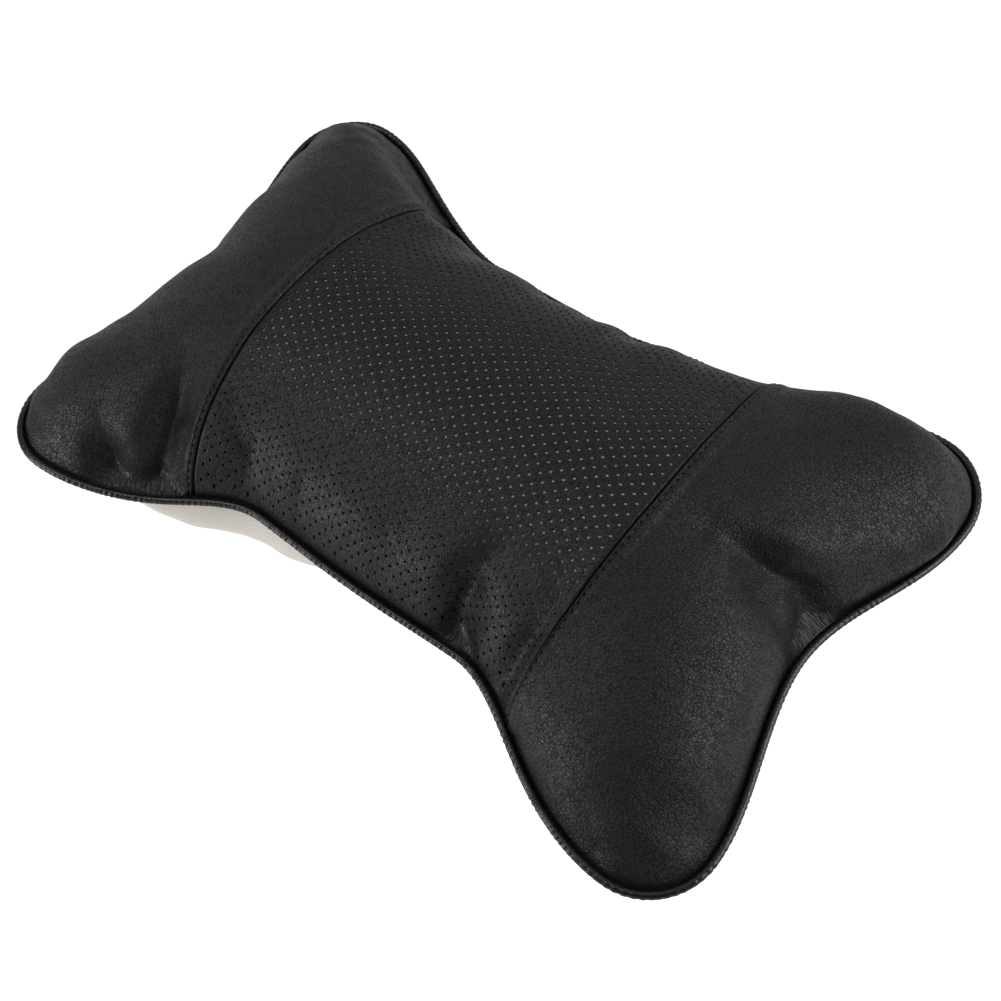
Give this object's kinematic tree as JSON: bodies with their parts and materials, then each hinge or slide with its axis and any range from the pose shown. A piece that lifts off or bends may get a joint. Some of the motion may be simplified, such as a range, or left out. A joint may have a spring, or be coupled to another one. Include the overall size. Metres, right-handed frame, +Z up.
{
  "type": "car neck pillow",
  "caption": "Bone-shaped headrest pillow with a perforated centre panel, pebbled end panels, a corded edge, a fabric back and an elastic strap.",
  "frame": {"origin": "on the resting surface, under the middle of the pillow", "axes": "+X along the length, +Y across the width, +Z up from the back to the front face"},
  "size_m": [0.277, 0.1782, 0.0725],
  "materials": {
    "leatherette": "black pebble-grained leatherette, soft satin sheen",
    "perforated_leatherette": "black fine-grained leatherette with punched holes in staggered rows",
    "piping_leatherette": "black leatherette wrapped round a cord, finely puckered",
    "cream_fabric": "cream plain-woven fabric",
    "white_fibre": "white polyester fibre",
    "black_elastic": "black ribbed woven elastic"
  },
  "bodies": {
    "root": {"left_end_panel": "leatherette", "centre_panel": "perforated_leatherette", "right_end_panel": "leatherette", "back_panel": "cream_fabric", "piping": "piping_leatherette", "filling": "white_fibre", "elastic_strap": "black_elastic"}
  },
  "joints": []
}
